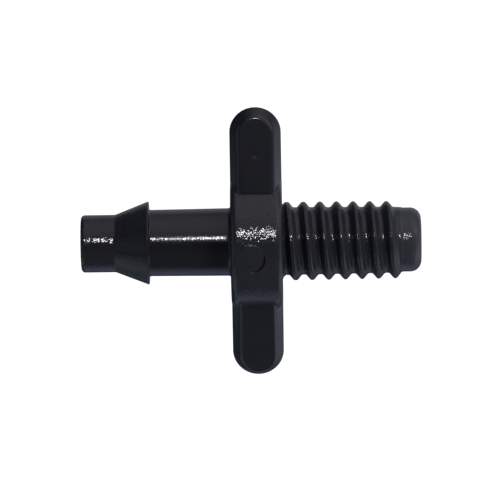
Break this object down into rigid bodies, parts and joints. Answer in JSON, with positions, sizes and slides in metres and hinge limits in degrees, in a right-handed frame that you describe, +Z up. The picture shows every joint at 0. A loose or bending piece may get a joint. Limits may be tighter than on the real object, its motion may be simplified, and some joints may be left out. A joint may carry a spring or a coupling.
{
  "type": "micro-irrigation barb-to-thread connector",
  "caption": "Moulded micro-irrigation connector: a hose barb, a hub with finger wings and a male thread with a plain pilot tip, with a straight waterway.",
  "frame": {"origin": "on the waterway's axis, in the plane of the hub's thread-side face", "axes": "+X along the waterway from the barb to the thread, +Y along the left finger wing, +Z up as the fitting lies flat"},
  "size_m": [0.026, 0.0212, 0.01],
  "materials": {
    "black_plastic": "near-black semi-gloss with the fine grain of a spark-eroded mould"
  },
  "bodies": {
    "root": {"barb_nose": "black_plastic", "barb_cone": "black_plastic", "barb_stem": "black_plastic", "hub": "black_plastic", "left_wing": "black_plastic", "right_wing": "black_plastic", "threaded_stud": "black_plastic", "thread_pilot": "black_plastic"}
  },
  "joints": []
}
